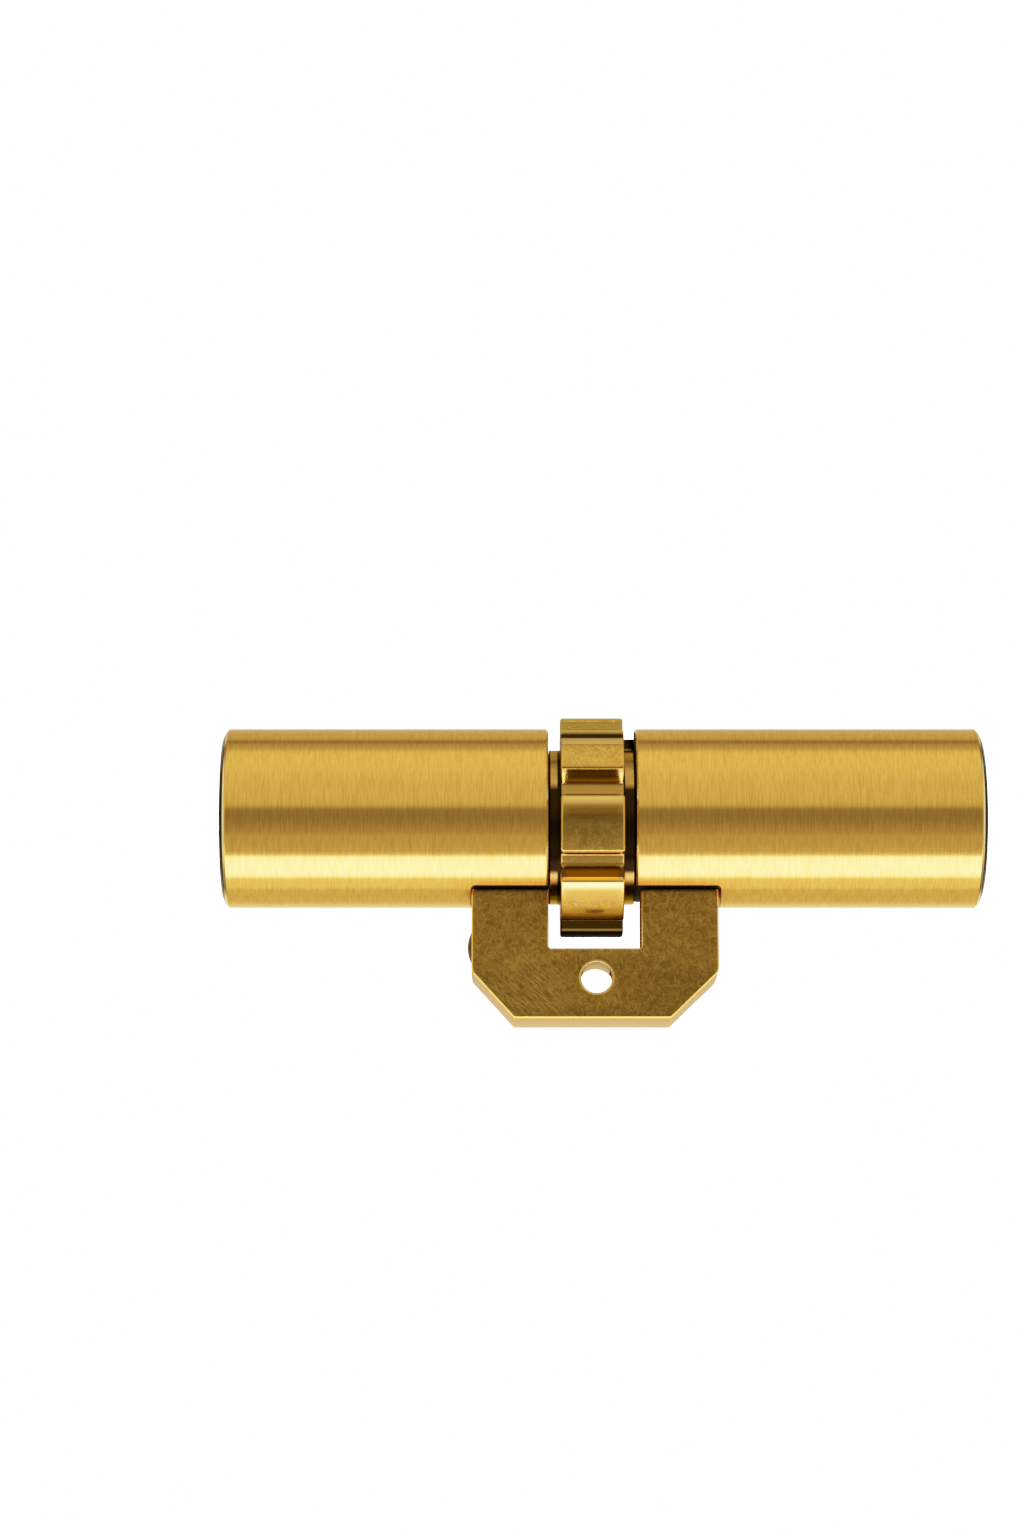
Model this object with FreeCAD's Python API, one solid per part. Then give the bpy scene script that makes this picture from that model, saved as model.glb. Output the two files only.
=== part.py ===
# Round double lock cylinder: two barrels with turning plugs, a toothed cam between them
# and a notched bridge underneath that joins the barrels and takes the fixing screw.
# Millimetres, +Z up. X runs along the barrels. The origin is the centre of the fixing
# screw's hole, at the middle of the bridge's thickness, and the hole runs along Y.

import FreeCAD, Part
import math
import os
from collections import namedtuple

V = FreeCAD.Vector

# Barrels
barrel_radius = 13.0
left_barrel_length = 46.6
right_barrel_length = 49.7
barrel_gap = 12.5
gap_centre = -0.63
barrel_axis_z = 24.1
outer_chamfer = 0.5
inner_chamfer = 0.3
face_disc_bevel = 0.9
face_disc_height = 0.4

# Fits
running_gap = 0.05
sliding_gap = 0.025
press_gap = 0.01
end_gap = 0.1

# Plugs
plug_drop = 1.35
plug_radius = 7.0
plug_head_radius = 7.9
plug_head_length = 2.2
plug_setback = 0.15
tail_radius = 5.0
tail_end_gap = 1.2
keyway_width = 8.3
keyway_height = 3.1
keyway_corner = 0.6
keyway_depth = 38.5
key_reach = 37.7

# Clips that hold the plugs in
clip_radius = 8.4
clip_thickness = 0.7
clip_inset = 0.45
clip_groove_radius = 6.2
clip_opening = 10.0
clip_recess_gap = 0.2

# Pins
pins_per_side = 5
first_pin_from_face = 8.0
pin_pitch = 5.6
pin_radius = 1.45
pin_tip_radius = 1.05
pin_ledge = 0.5
pin_travel = 1.2
key_cut_base = 0.3
key_cut_step = 0.2
key_cuts = (1, 3, 2, 4, 1)
driver_length = 2.4
spring_radius = 1.25
chamber_roof = 1.75

# Gear
tooth_count = 8
gear_width = 9.06
tip_radius = 15.9
root_radius = 12.9
land_angle = 29.5
tooth_base_angle = 37.0
tooth_phase = 9.0
gear_edge_chamfer = 0.3
hub_radius = 11.22
hub_end_gap = 0.25
lug_radius = 12.8
lug_front_angle = -79.0
lug_sweep = 40.0

# Coupling between the plugs and the gear
driving_zone = 5.4
coupler_length = 1.5
coupler_radius = 6.4
coupler_width = 3.0
coupler_throw = 3.3
coupler_recess_gap = 0.2
spacer_radius = 1.4
push_pin_radius = 1.2

# Bridge
bridge_width = 35.45
bridge_shift = -0.2
bridge_thickness = 10.0
bridge_bottom_z = -5.85
notch_width = 13.24
notch_floor_z = 4.26
left_cut_width = 6.1
right_cut_width = 6.9
cut_height = 6.7
arm_corner = 0.5
notch_corner = 0.35
flank_corner = 1.5
foot_corner = 0.6
seat_cut = 1.9
seat_gap = 0.15
left_seat_end_gap = 0.1
right_seat_end_gap = 0.35
seat_corner = 0.6
tongue_length = 7.0
tongue_thickness = 5.0
tongue_wall = 0.85
dowel_radius = 0.8
dowel_reach = 1.2
dowel_sink = 0.4

# Fixing screw's hole
screw_hole_radius = 2.2
screw_hole_chamfer = 0.2
screw_relief_radius = 2.75
screw_relief_depth = 4.6

# Domed pin in the bridge's left arm
rivet_head_radius = 2.35
rivet_head_height = 0.6
rivet_radius = 1.2
rivet_length = 8.0
rivet_z = 5.05

# Worked out from the sizes above
beyond = 1.0
plug_axis_z = barrel_axis_z - plug_drop
shear_z = plug_axis_z + plug_radius
half_gap = barrel_gap / 2
chamber_radius = pin_radius + running_gap
seat_z = barrel_axis_z - barrel_radius + seat_cut
arm_top_z = seat_z - seat_gap
tongue_top_z = plug_axis_z - plug_radius - tongue_wall
dowel_z = (seat_z + tongue_top_z) / 2
bridge_left = bridge_shift - bridge_width / 2
bridge_right = bridge_shift + bridge_width / 2
notch_left = bridge_shift - notch_width / 2
notch_right = bridge_shift + notch_width / 2
half_thickness = bridge_thickness / 2
driver_base_z = shear_z + running_gap + press_gap
chamber_top_z = barrel_axis_z + barrel_radius - chamber_roof
pin_ledge_z = plug_axis_z + keyway_height / 2 + pin_ledge

Side = namedtuple("Side", "name sign inner length arm_inner arm_outer seat_end_gap")
left_side = Side("left", -1, gap_centre - half_gap, left_barrel_length,
                 notch_left, bridge_left, left_seat_end_gap)
right_side = Side("right", 1, gap_centre + half_gap, right_barrel_length,
                  notch_right, bridge_right, right_seat_end_gap)
sides = (left_side, right_side)


def at(side, distance):
    """X at a distance outward from the barrel's inner face; less than 0 is in the gap."""
    return side.inner + side.sign * distance


def face_distance(side):
    """Distance from the barrel's inner face to the front of its face disc."""
    return side.length + face_disc_height


def rod(side, radius, start, end, z):
    """Round bar along X between two distances from the barrel's inner face."""
    low = min(at(side, start), at(side, end))
    return Part.makeCylinder(radius, abs(end - start), V(low, 0, z), V(1, 0, 0))


def block(side, start, end, width, z_low, z_high):
    """Block centred on y 0 between two distances from the barrel's inner face."""
    low = min(at(side, start), at(side, end))
    return Part.makeBox(abs(end - start), width, z_high - z_low, V(low, -width / 2, z_low))


def post(radius, x, z_low, z_high):
    """Upright round bar on the pins' line."""
    return Part.makeCylinder(radius, z_high - z_low, V(x, 0, z_low))


def round_edges(shape, x, radius):
    """Circular edges of one radius in the plane at x."""
    circles = [edge for edge in shape.Edges if isinstance(edge.Curve, Part.Circle)]
    return [edge for edge in circles
            if abs(edge.Curve.Radius - radius) < 1e-4 and abs(edge.Curve.Center.x - x) < 1e-4]


def edges_along(shape, direction, test):
    """Straight edges along a direction whose middle passes a test."""
    chosen = []
    for edge in shape.Edges:
        if isinstance(edge.Curve, Part.Line):
            if abs(edge.Curve.Direction.dot(direction)) > 0.9999 and test(edge.CenterOfMass):
                chosen.append(edge)
    return chosen


def write(shape, name):
    """Save one piece, which has to be a sound solid or a group of them."""
    if not shape.isValid() or not shape.Solids:
        raise ValueError(name + " is not a sound solid")
    shape.exportStep("parts/" + name + ".step")


# Pin places, shared by the barrels, the plugs and the pins themselves

def pin_places(side):
    """X of each pin's line, numbered from the key's end."""
    first = face_distance(side) - first_pin_from_face
    return [at(side, first - pin * pin_pitch) for pin in range(pins_per_side)]


def keyway_end(side):
    """Distance from the barrel's inner face to the closed end of the keyway."""
    return face_distance(side) - keyway_depth


# Barrels

def barrel_blank(side):
    """Turned bar with chamfered ends and a low bevelled face disc."""
    barrel = rod(side, barrel_radius, 0, side.length, barrel_axis_z)
    outer_x = at(side, side.length)
    barrel = barrel.makeChamfer(outer_chamfer, round_edges(barrel, outer_x, barrel_radius))
    barrel = barrel.makeChamfer(inner_chamfer, round_edges(barrel, side.inner, barrel_radius))
    disc_base = barrel_radius - outer_chamfer
    disc = Part.makeCone(disc_base, disc_base - face_disc_bevel, face_disc_height,
                         V(outer_x, 0, barrel_axis_z), V(side.sign, 0, 0))
    return barrel.fuse(disc).removeSplitter()


def plug_space(side):
    """Bore for the plug, with steps for its head and its clip."""
    face = face_distance(side)
    bore = rod(side, plug_radius + running_gap, -beyond, face + beyond, plug_axis_z)
    head_start = face - plug_head_length - end_gap
    head = rod(side, plug_head_radius + running_gap, head_start, face + beyond, plug_axis_z)
    clip_end = clip_inset + clip_thickness + end_gap
    clip = rod(side, clip_radius + clip_recess_gap, -beyond, clip_end, plug_axis_z)
    return bore.fuse([head, clip])


def pin_chambers(side):
    """Upright chambers from the plug's bore up to the slugs that close them."""
    return [post(chamber_radius, x, plug_axis_z, chamber_top_z) for x in pin_places(side)]


def tongue_middle(side):
    return (side.arm_inner + side.arm_outer) / 2


def dowel(side, radius, front, back):
    """Bar along Y at the place of the dowel that holds a tongue."""
    return Part.makeCylinder(radius, back - front,
                             V(tongue_middle(side), front, dowel_z), V(0, 1, 0))


def bridge_seat(side):
    """Flat pocket across the barrel's underside, and the slot for the bridge's tongue."""
    end = side.arm_outer + side.sign * side.seat_end_gap
    start = side.inner - side.sign * beyond
    low = min(start, end)
    width = 2 * (barrel_radius + beyond)
    bottom = barrel_axis_z - barrel_radius - beyond
    pocket = Part.makeBox(abs(end - start), width, seat_z - bottom, V(low, -width / 2, bottom))
    corner = edges_along(pocket, V(0, 1, 0),
                         lambda p: abs(p.x - end) < 1e-6 and abs(p.z - seat_z) < 1e-6)
    pocket = pocket.makeFillet(seat_corner, corner)
    slot_length = tongue_length + 2 * running_gap
    slot_width = tongue_thickness + 2 * running_gap
    slot = Part.makeBox(slot_length, slot_width, tongue_top_z + end_gap - bottom,
                        V(tongue_middle(side) - slot_length / 2, -slot_width / 2, bottom))
    return pocket.fuse(slot)


def half_body(side):
    dowel_hole = dowel(side, dowel_radius + press_gap, -dowel_reach - end_gap, barrel_radius)
    cuts = [plug_space(side), bridge_seat(side), dowel_hole] + pin_chambers(side)
    return barrel_blank(side).cut(cuts)


# Plugs

def keyway(side):
    """Flat slot for the key's blade, with rounded long edges and a closed end."""
    face = face_distance(side)
    slot = block(side, keyway_end(side), face + beyond, keyway_width,
                 plug_axis_z - keyway_height / 2, plug_axis_z + keyway_height / 2)
    return slot.makeFillet(keyway_corner, edges_along(slot, V(1, 0, 0), lambda p: True))


def plug_blank(side):
    """Turned core: head, body, clip groove and the tail that carries the gear."""
    front = face_distance(side)
    body = rod(side, plug_radius, plug_setback, front, plug_axis_z)
    head = rod(side, plug_head_radius, front - plug_head_length, front, plug_axis_z)
    tail = rod(side, tail_radius, plug_setback, tail_end_gap / 2 - half_gap, plug_axis_z)
    groove_start = clip_inset - end_gap
    groove_end = clip_inset + clip_thickness + end_gap
    groove = rod(side, plug_head_radius, groove_start, groove_end, plug_axis_z)
    groove = groove.cut(rod(side, clip_groove_radius, groove_start, groove_end, plug_axis_z))
    return body.fuse([head, tail]).removeSplitter().cut(groove)


def plug_pin_holes(side):
    """Stepped holes from the plug's skin down to the keyway."""
    holes = []
    for x in pin_places(side):
        holes.append(post(chamber_radius, x, pin_ledge_z, shear_z + beyond))
        holes.append(post(pin_tip_radius + running_gap, x, plug_axis_z, shear_z))
    return holes


def coupler_slot(side):
    """Slot across the tail in which the coupler slides, open at the tail's end."""
    outer = -(hub_end_gap - end_gap)
    return block(side, outer, -half_gap, coupler_width + 2 * sliding_gap,
                 plug_axis_z - plug_radius, plug_axis_z + plug_radius)


def plug(side):
    rod_hole = rod(side, push_pin_radius + running_gap, -half_gap, keyway_end(side) + beyond,
                   plug_axis_z)
    cuts = [keyway(side), coupler_slot(side), rod_hole] + plug_pin_holes(side)
    return plug_blank(side).cut(cuts)


def plug_clip(side):
    """Open ring that snaps into the plug's groove from above."""
    start = clip_inset
    end = clip_inset + clip_thickness
    ring = rod(side, clip_radius, start, end, plug_axis_z)
    ring = ring.cut(rod(side, clip_groove_radius + end_gap, start, end, plug_axis_z))
    mouth = block(side, start - beyond, end + beyond, clip_opening,
                  plug_axis_z - clip_radius - beyond, plug_axis_z)
    return ring.cut(mouth)


# Pins and springs

def key_pin(x, cut):
    """Stepped pin whose flat top lies at the shear line with the right key in."""
    top = plug_axis_z + math.sqrt(plug_radius ** 2 - pin_radius ** 2)
    shoulder = pin_ledge_z + pin_travel + running_gap
    tip = plug_axis_z + key_cut_base + cut * key_cut_step
    return post(pin_radius, x, shoulder, top).fuse(post(pin_tip_radius, x, tip, shoulder))


def driver_pin(x):
    """Plain pin above the shear line."""
    return post(pin_radius, x, driver_base_z, driver_base_z + driver_length)


def pin_spring(x):
    """Round bar with the spring's outer diameter."""
    return post(spring_radius, x, driver_base_z + driver_length, chamber_top_z)


# Gear

def gear_point(radius, angle, x):
    """Point on a circle round the gear's line: 0 is the front, 90 straight down."""
    turn = math.radians(angle)
    return V(x, -radius * math.cos(turn), plug_axis_z - radius * math.sin(turn))


def sector(inner, outer, start, end, x_low, x_high):
    """Solid between two circles and two radii."""
    middle = (start + end) / 2
    outside = Part.Arc(gear_point(outer, start, x_low), gear_point(outer, middle, x_low),
                       gear_point(outer, end, x_low))
    inside = Part.Arc(gear_point(inner, end, x_low), gear_point(inner, middle, x_low),
                      gear_point(inner, start, x_low))
    first = Part.LineSegment(gear_point(outer, end, x_low), gear_point(inner, end, x_low))
    second = Part.LineSegment(gear_point(inner, start, x_low), gear_point(outer, start, x_low))
    wire = Part.Wire([outside.toShape(), first.toShape(), inside.toShape(), second.toShape()])
    return Part.Face(wire).extrude(V(x_high - x_low, 0, 0))


def across_gear(radius, start, end):
    """Round bar on the gear's line between two distances from the gear's middle."""
    return Part.makeCylinder(radius, end - start, V(gap_centre + start, 0, plug_axis_z), V(1, 0, 0))


def valley(middle, x_low, x_high):
    """Solid of one valley: a round floor between two flanks that lean apart."""
    pitch = 360.0 / tooth_count
    roots = []
    mouths = []
    for direction in (-1, 1):
        root = gear_point(root_radius, middle + direction * (pitch - tooth_base_angle) / 2, x_low)
        tip = gear_point(tip_radius, middle + direction * (pitch - land_angle) / 2, x_low)
        roots.append(root)
        mouths.append(tip + (tip - root).normalize() * beyond)
    floor = Part.Arc(roots[0], gear_point(root_radius, middle, x_low), roots[1]).toShape()
    sides = Part.makePolygon([roots[1], mouths[1], mouths[0], roots[0]]).Edges
    return Part.Face(Part.Wire([floor] + sides)).extrude(V(x_high - x_low, 0, 0))


def toothed_ring():
    """Chamfered blank with a valley cut beside each tooth."""
    half_width = gear_width / 2
    blank = across_gear(tip_radius, -half_width, half_width)
    rims = [edge for edge in blank.Edges if isinstance(edge.Curve, Part.Circle)]
    blank = blank.makeChamfer(gear_edge_chamfer, rims)
    pitch = 360.0 / tooth_count
    x_low = gap_centre - half_width - beyond
    x_high = gap_centre + half_width + beyond
    valleys = [valley(tooth_phase + (tooth + 0.5) * pitch, x_low, x_high)
               for tooth in range(tooth_count)]
    return blank.cut(valleys)


def gear_bores():
    """Bearing bore on both tails, two driving slots and a free recess at each end."""
    hub_half = half_gap - hub_end_gap
    zone_half = driving_zone / 2
    bore = across_gear(tail_radius + running_gap, -hub_half - beyond, hub_half + beyond)
    free_radius = coupler_radius + coupler_recess_gap
    left = across_gear(free_radius, -hub_half - beyond, -zone_half)
    right = across_gear(free_radius, zone_half, hub_half + beyond)
    slot_half = coupler_radius + end_gap
    slot_width = coupler_width + 2 * running_gap
    slot = Part.makeBox(driving_zone, slot_width, 2 * slot_half,
                        V(gap_centre - zone_half, -slot_width / 2, plug_axis_z - slot_half))
    return [bore, left, right, slot]


def drive_gear():
    hub_half = half_gap - hub_end_gap
    hub = across_gear(hub_radius, -hub_half, hub_half)
    lug = sector(hub_radius - beyond, lug_radius, lug_front_angle, lug_front_angle - lug_sweep,
                 gap_centre + gear_width / 2 - beyond, gap_centre + hub_half)
    return toothed_ring().fuse([hub, lug]).cut(gear_bores())


# Couplers, their push pins and the spacer between them

def coupler_inner(side):
    """Distance from the gear's middle to the coupler's inner face at rest: the left one
    is in the gear's slots, and the right one is clear of them."""
    engaged = driving_zone / 2 - end_gap - coupler_length
    return engaged if side.sign < 0 else engaged + coupler_throw


def coupler(side):
    inner = coupler_inner(side) - half_gap
    disc = rod(side, coupler_radius, inner, inner + coupler_length, plug_axis_z)
    bar = block(side, inner, inner + coupler_length, coupler_width,
                plug_axis_z - coupler_radius, plug_axis_z + coupler_radius)
    return bar.common(disc)


def coupler_spacer():
    start = -coupler_inner(left_side) + running_gap
    end = coupler_inner(right_side) - running_gap
    return across_gear(spacer_radius, start, end)


def push_pin(side):
    """Rod from the coupler out to where the key's tip stands."""
    start = coupler_inner(side) - half_gap + coupler_length + running_gap
    tip = face_distance(side) - key_reach
    end = tip if side.sign < 0 else tip + coupler_throw
    return rod(side, push_pin_radius, start, end, plug_axis_z)


# Bridge

def bridge_outline():
    """Front outline, from the left arm's outer top corner round to the left flank."""
    left_foot = bridge_left + left_cut_width
    right_foot = bridge_right - right_cut_width
    cut_top = bridge_bottom_z + cut_height
    corners = [(bridge_left, arm_top_z), (notch_left, arm_top_z), (notch_left, notch_floor_z),
               (notch_right, notch_floor_z), (notch_right, arm_top_z), (bridge_right, arm_top_z),
               (bridge_right, cut_top), (right_foot, bridge_bottom_z),
               (left_foot, bridge_bottom_z), (bridge_left, cut_top)]
    points = [V(x, -half_thickness, z) for x, z in corners]
    return Part.makePolygon(points + points[:1])


def bridge_plate():
    """Plate with rounded corners."""
    plate = Part.Face(bridge_outline()).extrude(V(0, bridge_thickness, 0))
    through = V(0, 1, 0)
    cut_top = bridge_bottom_z + cut_height
    corners = [(arm_corner, lambda p: abs(p.z - arm_top_z) < 1e-6),
               (notch_corner, lambda p: abs(p.z - notch_floor_z) < 1e-6),
               (flank_corner, lambda p: abs(p.z - cut_top) < 1e-6),
               (foot_corner, lambda p: abs(p.z - bridge_bottom_z) < 1e-6)]
    for radius, test in corners:
        plate = plate.makeFillet(radius, edges_along(plate, through, test))
    return plate


def tongue(side):
    return Part.makeBox(tongue_length, tongue_thickness, tongue_top_z - arm_top_z + beyond,
                        V(tongue_middle(side) - tongue_length / 2, -tongue_thickness / 2,
                          arm_top_z - beyond))


def screw_hole():
    """Threaded hole's core, a mouth chamfer in front and a wider relief behind."""
    front = V(0, -half_thickness, 0)
    core = Part.makeCylinder(screw_hole_radius, bridge_thickness, front, V(0, 1, 0))
    mouth = Part.makeCone(screw_hole_radius + screw_hole_chamfer, screw_hole_radius,
                          screw_hole_chamfer, front, V(0, 1, 0))
    relief = Part.makeCylinder(screw_relief_radius, screw_relief_depth,
                               V(0, half_thickness - screw_relief_depth, 0), V(0, 1, 0))
    return [core, mouth, relief]


def bridge():
    plate = bridge_plate().fuse([tongue(side) for side in sides])
    cuts = screw_hole()
    cuts += [dowel(side, dowel_radius + press_gap, -dowel_reach - end_gap, bridge_thickness)
             for side in sides]
    cuts.append(Part.makeCylinder(rivet_radius + press_gap, rivet_length + end_gap,
                                  V(bridge_left, 0, rivet_z), V(1, 0, 0)))
    return plate.cut(cuts)


def bridge_dowels():
    """Pins pressed into the tongues from behind, sunk a little under the barrel's skin."""
    rise = barrel_axis_z - dowel_z
    back = math.sqrt(barrel_radius ** 2 - rise ** 2) - dowel_sink
    return Part.makeCompound([dowel(side, dowel_radius, -dowel_reach, back) for side in sides])


def side_rivet():
    """Low domed head on the flank, and a shank in the arm."""
    dome = (rivet_head_radius ** 2 + rivet_head_height ** 2) / (2 * rivet_head_height)
    ball = Part.makeSphere(dome, V(bridge_left - rivet_head_height + dome, 0, rivet_z))
    keep = Part.makeCylinder(rivet_head_radius, rivet_head_height,
                             V(bridge_left - rivet_head_height, 0, rivet_z), V(1, 0, 0))
    shank = Part.makeCylinder(rivet_radius, rivet_length, V(bridge_left, 0, rivet_z), V(1, 0, 0))
    return ball.common(keep).fuse(shank)


os.makedirs("parts", exist_ok=True)
for side in sides:
    write(half_body(side), side.name + "_half_body")
    write(plug(side), side.name + "_plug")
    write(plug_clip(side), side.name + "_plug_clip")
    write(coupler(side), side.name + "_coupler")
    write(push_pin(side), side.name + "_push_pin")
    for number, (x, cut) in enumerate(zip(pin_places(side), key_cuts), start=1):
        write(key_pin(x, cut), "%s_key_pin_%d" % (side.name, number))
        write(driver_pin(x), "%s_driver_pin_%d" % (side.name, number))
        write(pin_spring(x), "%s_spring_%d" % (side.name, number))
write(drive_gear(), "drive_gear")
write(coupler_spacer(), "coupler_spacer")
write(bridge(), "bridge")
write(bridge_dowels(), "bridge_dowels")
write(side_rivet(), "side_rivet")
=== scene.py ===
import bmesh
import bpy
import math
from mathutils import Matrix, Vector
from mathutils.geometry import tessellate_polygon


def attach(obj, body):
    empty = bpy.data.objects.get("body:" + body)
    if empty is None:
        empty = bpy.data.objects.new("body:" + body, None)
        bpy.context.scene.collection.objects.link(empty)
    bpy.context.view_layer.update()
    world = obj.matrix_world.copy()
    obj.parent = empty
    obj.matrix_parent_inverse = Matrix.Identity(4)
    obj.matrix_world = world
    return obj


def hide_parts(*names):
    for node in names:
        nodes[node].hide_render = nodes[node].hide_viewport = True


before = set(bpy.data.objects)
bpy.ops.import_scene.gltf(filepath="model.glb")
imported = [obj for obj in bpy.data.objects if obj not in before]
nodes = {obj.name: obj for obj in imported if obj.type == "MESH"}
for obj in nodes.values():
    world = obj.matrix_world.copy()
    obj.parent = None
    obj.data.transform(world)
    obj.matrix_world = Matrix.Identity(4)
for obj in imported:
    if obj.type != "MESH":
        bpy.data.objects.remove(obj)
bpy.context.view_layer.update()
mm = 0.001


# Barrels
# Two round bars of free-cutting brass, turned on a lathe and left with the fine rings of the
# cutting tool. Each has a chamfer and a low bevelled disc at its outer end, and a flat seat
# milled across its underside for the bridge.

barrel_axis_z = 24.1 * mm
barrel_ends_middle_x = 0.92 * mm
gap_middle_x = -0.63 * mm
seat_z = 13.0 * mm
# Zones of colour: from, to, and the length over which they fade out. The first two are
# measured along X from the middle of the ends, the next two from the middle of the gap.
chamfer_at = (54.07 * mm, 54.22 * mm, 0.05 * mm)
disc_bevel_at = (54.32 * mm, 54.77 * mm, 0.05 * mm)
inner_end_at = (0.0, 6.31 * mm, 0.05 * mm)
inner_rim_at = (6.36 * mm, 6.50 * mm, 0.03 * mm)
seat_heights = (seat_z - 0.05 * mm, seat_z + 3 * mm, 0.05 * mm)
# How squarely a face has to point down to be a seat, where 1 is straight down
seat_facing = (0.97, 1.1, 0.03)
# Painted highlight: a bright line at the outer chamfers' edge and at the inner rims, where a
# rounded edge catches the light
painted_rim_highlight = (1.0, 0.78, 0.38, 1.0)
# Painted shade: dark brown on the bevelled discs, the inner end faces and the seats, which lie in
# shade
painted_shade_brown = (0.018, 0.009, 0.002, 1.0)
# What all turned metal here has in common
turned_anisotropy = 0.7
turned_rotation = 0.25
turned_grazing_tint = (1.0, 0.90, 0.66, 1.0)
turned_edge_width = 0.15 * mm
ring_relief = 0.25
noise_spread = {"From_Min": 0.35, "From_Max": 0.65}
dull_roughness = 0.9
# Places of the colour sockets on a Mix node
colour_under, colour_over, colour_mixed = 6, 7, 2


def feed(tree, socket, value):
    """Give an input its value: another node's output, or a plain number or colour."""
    if isinstance(value, bpy.types.NodeSocket):
        tree.links.new(value, socket)
    else:
        socket.default_value = value


def add(tree, kind, **values):
    """New shader node, with its properties and inputs set by name."""
    node = tree.nodes.new(kind)
    for name, value in values.items():
        if hasattr(node, name):
            setattr(node, name, value)
        else:
            feed(tree, node.inputs[name.replace("_", " ")], value)
    return node


def reckon(tree, operation, *values):
    """Result of one sum on outputs or plain numbers."""
    node = add(tree, "ShaderNodeMath", operation=operation)
    for socket, value in zip(node.inputs, values):
        feed(tree, socket, value)
    return node.outputs[0]


def measure(tree, operation, *vectors):
    """Number got from one vector or two, such as a length."""
    node = add(tree, "ShaderNodeVectorMath", operation=operation)
    for socket, value in zip(node.inputs, vectors):
        feed(tree, socket, value)
    return node.outputs["Value"]


def split(tree, vector):
    """The X, Y and Z of a vector."""
    return add(tree, "ShaderNodeSeparateXYZ", Vector=vector).outputs


def place(tree, kind="Object"):
    """The place on the object in its own axes, or its normal, or the direction in the room."""
    return add(tree, "ShaderNodeTexCoord").outputs[kind]


def shared_effect(name, inputs, outputs):
    """Empty node group with named number inputs and the outputs given as {name: kind}."""
    tree = bpy.data.node_groups.new(name, "ShaderNodeTree")
    for label, value in inputs.items():
        socket = tree.interface.new_socket(label, in_out="INPUT", socket_type="NodeSocketFloat")
        socket.default_value = value
    for label, kind in outputs.items():
        tree.interface.new_socket(label, in_out="OUTPUT", socket_type=kind)
    return tree, tree.nodes.new("NodeGroupInput"), tree.nodes.new("NodeGroupOutput")


def turned_rings():
    """Lathe rings round a bar along X, and round the middle of its end faces."""
    tree, given, result = shared_effect(
        "Turned rings", {"Axis Height": 0.0, "Rings": 5000.0, "Breaks": 150.0},
        {"Rings": "NodeSocketFloat"})
    parts = split(tree, place(tree))
    rise = reckon(tree, "SUBTRACT", parts["Z"], given.outputs["Axis Height"])
    around = add(tree, "ShaderNodeCombineXYZ", Y=parts["Y"], Z=rise).outputs[0]
    run = reckon(tree, "ADD", parts["X"], measure(tree, "LENGTH", around))
    slow = add(tree, "ShaderNodeVectorMath", operation="SCALE", Scale=given.outputs["Breaks"])
    feed(tree, slow.inputs[0], around)
    slow_parts = split(tree, slow.outputs[0])
    where = add(tree, "ShaderNodeCombineXYZ",
                X=reckon(tree, "MULTIPLY", run, given.outputs["Rings"]),
                Y=slow_parts["Y"], Z=slow_parts["Z"])
    noise = add(tree, "ShaderNodeTexNoise", Vector=where.outputs[0], Scale=1.0, Detail=3.0,
                Roughness=0.65)
    feed(tree, result.inputs["Rings"], noise.outputs["Fac"])
    return tree


def worn_edges():
    """Normal that rounds off the edges."""
    tree, given, result = shared_effect(
        "Worn edges", {"Width": 0.0002}, {"Normal": "NodeSocketVector"})
    bevel = add(tree, "ShaderNodeBevel", samples=8, Radius=given.outputs["Width"])
    feed(tree, result.inputs["Normal"], bevel.outputs["Normal"])
    return tree


rings_effect = turned_rings()
edge_effect = worn_edges()


def metal(name, roughness, anisotropy=0.0):
    """Material with a bare metal shader."""
    material = bpy.data.materials.new(name)
    material.use_nodes = True
    shader = material.node_tree.nodes["Principled BSDF"]
    shader.inputs["Metallic"].default_value = 1.0
    shader.inputs["Roughness"].default_value = roughness
    shader.inputs["Anisotropic"].default_value = anisotropy
    return material, material.node_tree, shader


def times(tree, first, second):
    """Mask where both masks are."""
    return reckon(tree, "MULTIPLY", first, second)


def between(tree, value, low, high, soft):
    """Mask that is 1 from low to high and fades out over a short way beyond."""
    rising = add(tree, "ShaderNodeMapRange", Value=value, From_Min=low - soft, From_Max=low)
    falling = add(tree, "ShaderNodeMapRange", Value=value, From_Min=high + soft, From_Max=high)
    return times(tree, rising.outputs["Result"], falling.outputs["Result"])


def from_middle(tree, middle_x):
    """Distance along X from a middle plane."""
    off = reckon(tree, "SUBTRACT", split(tree, place(tree))["X"], middle_x)
    return reckon(tree, "ABSOLUTE", off)


def facing(tree, direction):
    """How far the surface faces along a direction: 1 straight along it, 0 across it."""
    return measure(tree, "DOT_PRODUCT", place(tree, "Normal"), direction)


def mixed(tree, mask, under, over):
    """One colour laid over another where the mask is."""
    mix = add(tree, "ShaderNodeMix", data_type="RGBA")
    feed(tree, mix.inputs[0], mask)
    feed(tree, mix.inputs[colour_under], under)
    feed(tree, mix.inputs[colour_over], over)
    return mix.outputs[colour_mixed]


def outer_chamfers(tree):
    return between(tree, from_middle(tree, barrel_ends_middle_x), *chamfer_at)


def disc_bevels(tree):
    return between(tree, from_middle(tree, barrel_ends_middle_x), *disc_bevel_at)


def inner_ends(tree):
    return between(tree, from_middle(tree, gap_middle_x), *inner_end_at)


def inner_rims(tree):
    return between(tree, from_middle(tree, gap_middle_x), *inner_rim_at)


def seats(tree):
    """The flats that the bridge's arms stand against."""
    level = between(tree, split(tree, place(tree))["Z"], *seat_heights)
    return times(tree, level, between(tree, facing(tree, (0.0, 0.0, -1.0)), *seat_facing))


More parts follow.
